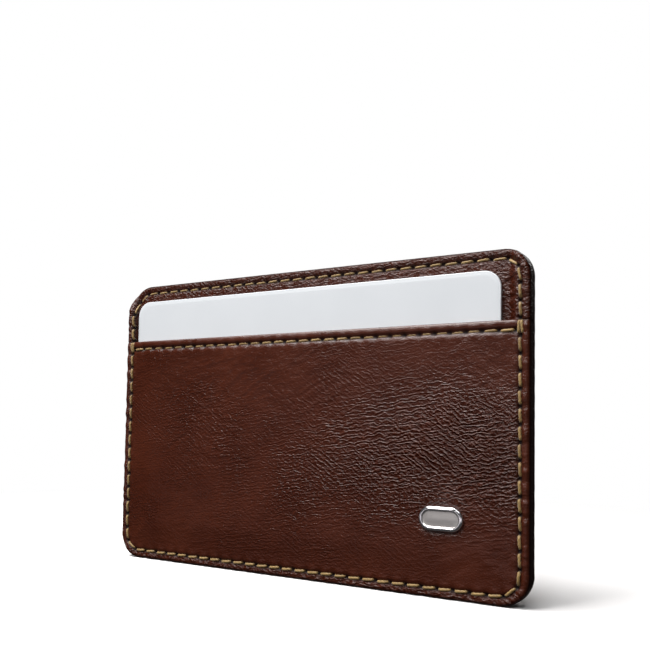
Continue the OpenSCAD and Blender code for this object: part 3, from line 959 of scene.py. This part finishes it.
def make_strips():
    floor = card_low[2] - 0.05
    beside = WIDTH / 2 - WELT_WIDTH + 0.1
    for name, side in (("left", -1), ("right", 1)):
        make_strip(name + "_welt_strip", name + "_welt", np.linspace(floor + 0.1, MOUTH - 0.2, 12),
                   side, beside, lambda z: SLOT_ROOF - 0.03)
        make_strip("upper_rim_" + name + "_strip", "upper_rim_" + name,
                   np.linspace(MOUTH + 0.4, SLOPE_START + 1.6, 10), side, beside + 0.3,
                   lambda z: FRONT - 1.0 - 0.6 * max(z - SLOPE_START, 0))
    make_strip("bottom_welt_strip", "bottom_welt", np.linspace(0.14, floor - 0.1, 12), 0, 0,
               lambda z: SLOT_ROOF - 0.03)


def make_inside():
    dress("core_board", board)
    dress("mouth_tape", tape_cloth)
    dress("pocket_lining", lining_cloth)
    dress("badge_backing", nickel_face)
    make_strips()


# ------------------------------------------------------------------ the stage

def make_floor():
    """A matt white floor that turns into plain white light further out, so it has no edge."""
    bpy.ops.mesh.primitive_plane_add(size=2)
    floor = bpy.context.object
    floor.name = "floor"
    material, tree, shader = new_material("floor_white")
    shader.inputs["Base Color"].default_value = (0.88, 0.88, 0.88, 1)
    shader.inputs["Roughness"].default_value = 0.9
    shader.inputs["Specular IOR Level"].default_value = 0.0
    coord = tree.nodes.new("ShaderNodeTexCoord")
    far = tree.nodes.new("ShaderNodeVectorMath")
    far.operation = "LENGTH"
    link(tree, coord.outputs["Object"], far.inputs[0])
    fade = add(tree, "ShaderNodeMapRange", From_Min=FLOOR_FADE[0], From_Max=FLOOR_FADE[1])
    fade.interpolation_type = "SMOOTHSTEP"
    link(tree, far.outputs["Value"], fade.inputs["Value"])
    white = add(tree, "ShaderNodeEmission", Color=(1, 1, 1, 1), Strength=1.0)
    blend = tree.nodes.new("ShaderNodeMixShader")
    link(tree, fade.outputs["Result"], blend.inputs["Fac"])
    link(tree, shader.outputs[0], blend.inputs[1])
    link(tree, white.outputs[0], blend.inputs[2])
    link(tree, blend.outputs[0], tree.nodes["Material Output"].inputs["Surface"])
    floor.data.materials.append(material)
    floor.visible_glossy = False
    floor.visible_diffuse = False


def make_backdrop():
    bpy.ops.mesh.primitive_uv_sphere_add(radius=1.2, segments=96, ring_count=48)
    backdrop = bpy.context.object
    backdrop.name = "backdrop"
    material, _, shader = new_material("backdrop_white")
    shader.inputs["Base Color"].default_value = (0, 0, 0, 1)
    shader.inputs["Specular IOR Level"].default_value = 0.0
    shader.inputs["Emission Color"].default_value = (1, 1, 1, 1)
    shader.inputs["Emission Strength"].default_value = 1.0
    backdrop.data.materials.append(material)
    backdrop.visible_glossy = False
    backdrop.visible_diffuse = False
    backdrop.visible_shadow = False
    backdrop.visible_transmission = False


def make_world():
    scene = bpy.context.scene
    world = bpy.data.worlds.new("studio")
    world.use_nodes = True
    world.node_tree.nodes["Background"].inputs["Color"].default_value = (1, 1, 1, 1)
    world.node_tree.nodes["Background"].inputs["Strength"].default_value = 0.05
    scene.world = world
    scene.view_settings.view_transform = "Standard"
    scene.view_settings.look = "None"


def area_light(name, location, target, size, power, colour=(1, 1, 1)):
    data = bpy.data.lights.new(name, "AREA")
    data.shape = "RECTANGLE"
    data.size, data.size_y = size
    data.energy = power
    data.color = colour
    light = bpy.data.objects.new(name, data)
    light.location = location
    light.rotation_euler = (Vector(target) - Vector(location)).to_track_quat("-Z", "Y").to_euler()
    bpy.context.scene.collection.objects.link(light)
    return light


def make_lights():
    middle = (0, 0, 0.03)
    area_light("softbox_top", (-0.13, -0.14, 0.48), middle, (0.32, 0.32), 4.5, (1.0, 0.98, 0.97))
    area_light("softbox_sheen", (-0.20, -0.42, 0.34), (0.02, 0, 0.035), (0.14, 0.10), 0.6, (1.0, 0.92, 0.90))
    area_light("softbox_fill", (0.16, -0.42, 0.42), middle, (0.3, 0.2), 1.35)
    area_light("softbox_back_left", (0.03, 0.50, 0.42), middle, (0.3, 0.3), 2.6)
    area_light("softbox_back_right", (-0.40, 0.40, 0.25), middle, (0.3, 0.3), 1.4)
    strip = area_light("strip_low", (0.0, -0.16, 0.004), (0, 0, 0.02), (0.3, 0.03), 0.028, (1.0, 0.93, 0.97))
    strip.visible_camera = False


def light_the_back():
    """The lights behind reach only the wallet and the card, so the floor keeps its soft shadow."""
    pieces = bpy.data.collections.new("lit_from_behind")
    for obj in bpy.context.scene.objects:
        if obj.type == "MESH" and obj.name not in ("floor", "backdrop"):
            pieces.objects.link(obj)
    for name in ("softbox_back_left", "softbox_back_right"):
        bpy.data.objects[name].light_linking.receiver_collection = pieces


def make_camera():
    scene = bpy.context.scene
    data = bpy.data.cameras.new("camera")
    data.sensor_width = 36
    data.lens = 42.66
    data.shift_y = 0.0939
    data.clip_start = 0.01
    camera = bpy.data.objects.new("camera", data)
    camera.location = (0.0838, -0.1297, 0.0295)
    camera.rotation_euler = tuple(math.radians(a) for a in (93.163, -0.964, 31.026))
    scene.collection.objects.link(camera)
    scene.camera = camera


make_camera()
make_floor()
make_backdrop()
make_world()
make_lights()
make_pocket()
make_inner()
make_back()
make_threads()
make_card()
make_badge()
make_inside()
light_the_back()
